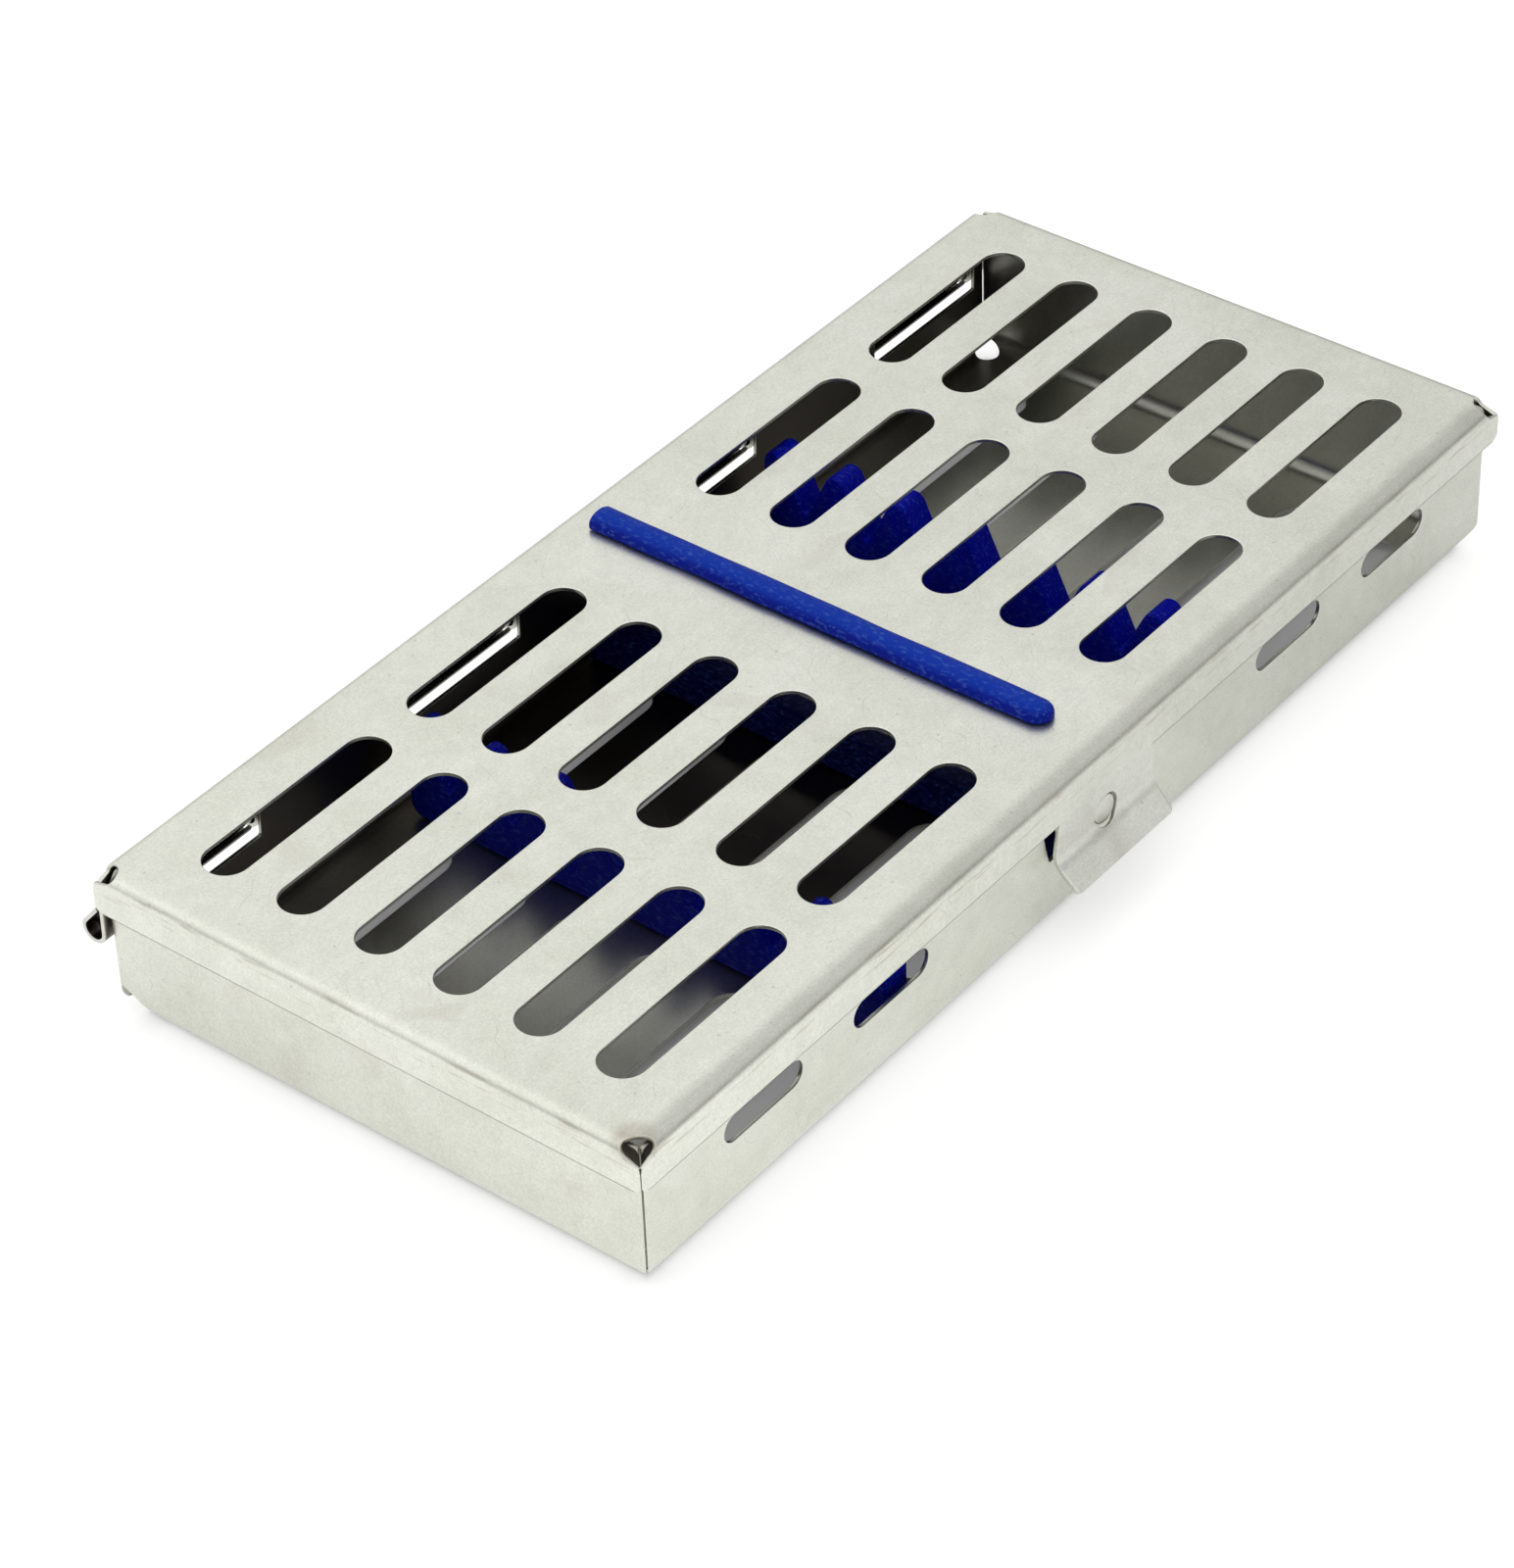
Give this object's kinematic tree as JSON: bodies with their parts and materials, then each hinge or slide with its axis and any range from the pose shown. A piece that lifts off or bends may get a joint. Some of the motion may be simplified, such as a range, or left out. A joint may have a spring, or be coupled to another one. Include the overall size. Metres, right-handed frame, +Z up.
{
  "type": "instrument cassette",
  "caption": "Flat perforated sheet-steel sterilising cassette: tray with hinged lid, spring latch tongue and silicone combs and bars that hold hand instruments.",
  "frame": {"origin": "on the ground under the middle of the closed cassette", "axes": "+X along the hinge and the length, +Y from the latch towards the hinge, +Z up through the lid"},
  "size_m": [0.18, 0.0906, 0.0252],
  "materials": {
    "tray": "satin",
    "lid": "satin",
    "hinge_pin": "satin",
    "latch_tongue": "satin",
    "catch_button": "satin",
    "lid_bar": "matte moulded silicone",
    "rest_bar": "matte moulded silicone",
    "comb_near": "matte moulded silicone",
    "comb_far": "matte moulded silicone",
    "lid_knuckle_1": "satin",
    "lid_knuckle_2": "satin",
    "lid_knuckle_3": "satin",
    "lid_knuckle_4": "satin",
    "lid_knuckle_5": "satin",
    "tray_knuckle_1": "satin",
    "tray_knuckle_2": "satin",
    "tray_knuckle_3": "satin",
    "tray_knuckle_4": "satin"
  },
  "bodies": {
    "tray_body": {"tray": "tray", "tray_knuckle_1": "tray_knuckle_1", "tray_knuckle_2": "tray_knuckle_2", "tray_knuckle_3": "tray_knuckle_3", "tray_knuckle_4": "tray_knuckle_4", "hinge_pin": "hinge_pin", "catch_button": "catch_button", "comb_near": "comb_near", "comb_far": "comb_far", "rest_bar": "rest_bar"},
    "lid_body": {"lid": "lid", "lid_knuckle_1": "lid_knuckle_1", "lid_knuckle_2": "lid_knuckle_2", "lid_knuckle_3": "lid_knuckle_3", "lid_knuckle_4": "lid_knuckle_4", "lid_knuckle_5": "lid_knuckle_5", "lid_bar": "lid_bar"},
    "latch_body": {"latch_tongue": "latch_tongue"}
  },
  "joints": [
    {"name": "lid_hinge", "type": "hinge", "parent": "tray_body", "child": "lid_body", "pos_m": [0, 0.0434, 0.013], "axis": [-1, 0, 0], "range_deg": [0, 180]},
    {"name": "latch_spring", "type": "hinge", "parent": "lid_body", "child": "latch_body", "pos_m": [0, -0.0417, 0.0169], "axis": [-1, 0, 0], "range_deg": [0, 12], "stiffness_Nm_per_rad": 0.15}
  ]
}
